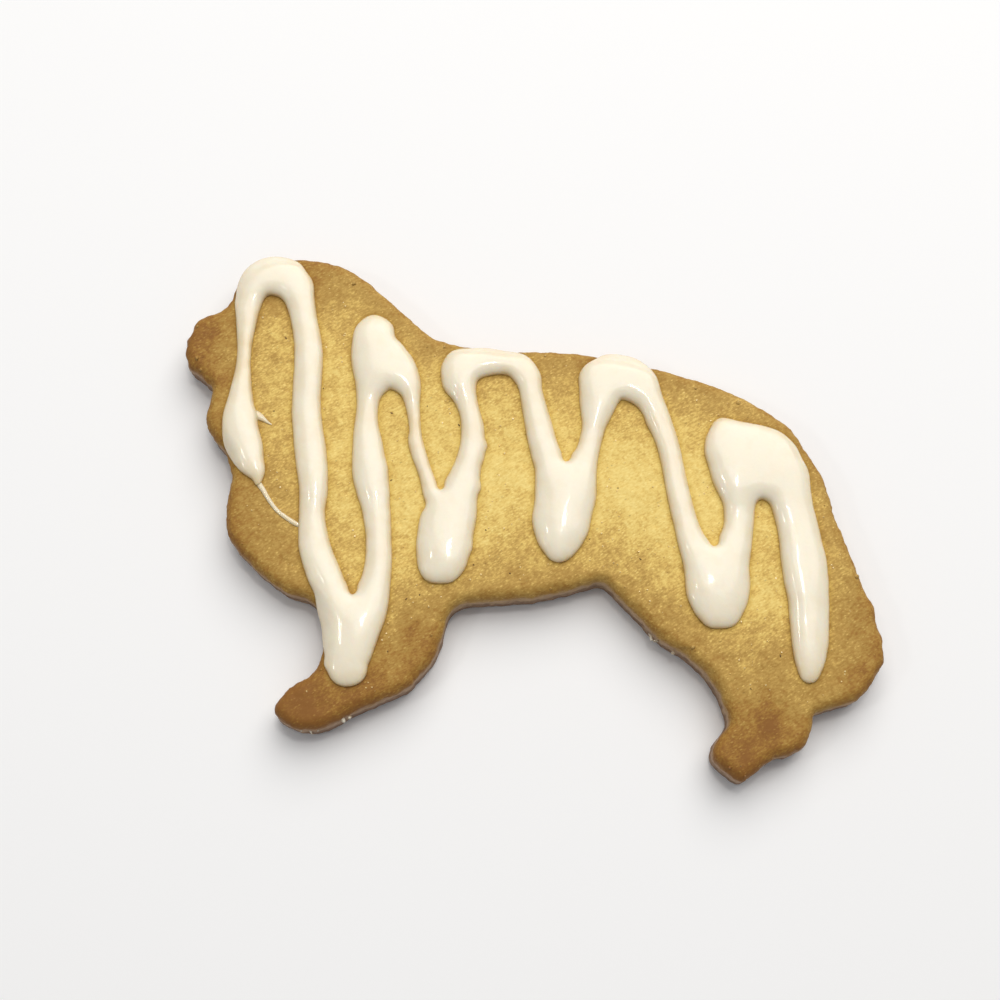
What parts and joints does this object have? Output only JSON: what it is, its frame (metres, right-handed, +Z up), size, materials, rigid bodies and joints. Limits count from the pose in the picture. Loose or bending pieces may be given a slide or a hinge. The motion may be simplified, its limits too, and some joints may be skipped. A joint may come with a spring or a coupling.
{
  "type": "dog-shaped cookie",
  "caption": "Flat golden cookie cut as a heavy-coated dog standing side on, with a zigzag of thick white icing across its face.",
  "frame": {"origin": "middle of the footprint, on the surface that the cookie lies on", "axes": "+Z up through the thickness, +X from the dog's nose to its rump, +Y from its paws to its back"},
  "size_m": [0.1068, 0.0704, 0.0085],
  "materials": {
    "biscuit": "dry, fine-grained baked dough",
    "icing": "smooth glossy set icing"
  },
  "bodies": {
    "root": {"cookie": "biscuit"}
  },
  "joints": []
}
